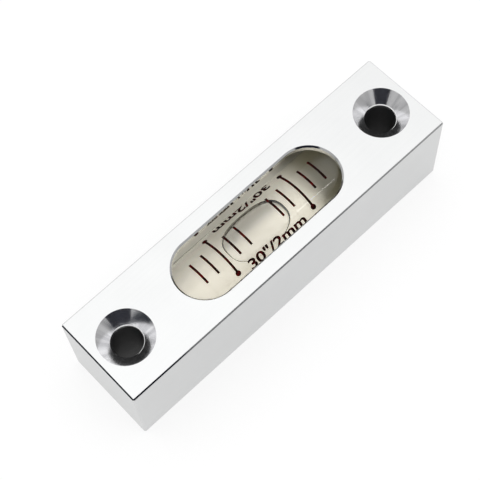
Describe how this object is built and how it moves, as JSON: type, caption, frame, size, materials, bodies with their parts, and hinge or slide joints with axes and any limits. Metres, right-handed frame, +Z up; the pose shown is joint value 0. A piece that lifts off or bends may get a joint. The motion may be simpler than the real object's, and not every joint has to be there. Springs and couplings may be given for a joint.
{
  "type": "machinist level",
  "caption": "Small bar level: a square metal bar with a ground spirit vial in an oblong window on top, and a countersunk screw hole near each end.",
  "frame": {"origin": "centre of the bar's base face", "axes": "+X along the bar and the vial, +Z up, square to the base; the vial's window faces +Z"},
  "size_m": [0.06, 0.015, 0.015],
  "materials": {
    "bar": "fine milled, bare",
    "glass": "clear, polished",
    "spirit": "clear liquid, faintly tinted",
    "air": "air bubble",
    "ink": "dark red-black ink",
    "plaster": "matt, cream"
  },
  "bodies": {
    "bar": {"housing": "bar", "vial": "glass", "spirit": "spirit", "plaster_bed": "plaster", "short_tick_1": "ink", "short_tick_2": "ink", "short_tick_3": "ink", "short_tick_4": "ink", "short_tick_5": "ink", "short_tick_6": "ink", "short_tick_7": "ink", "short_tick_8": "ink", "long_tick_1": "ink", "long_tick_2": "ink"},
    "bubble": {"bubble": "air"}
  },
  "joints": [
    {"name": "bubble_travel", "type": "slide", "parent": "bar", "child": "bubble", "axis": [1, 0, 0], "range_m": [-0.0099, 0.0116], "stiffness_N_per_m": 0.00005, "deforming": ["spirit"]}
  ]
}
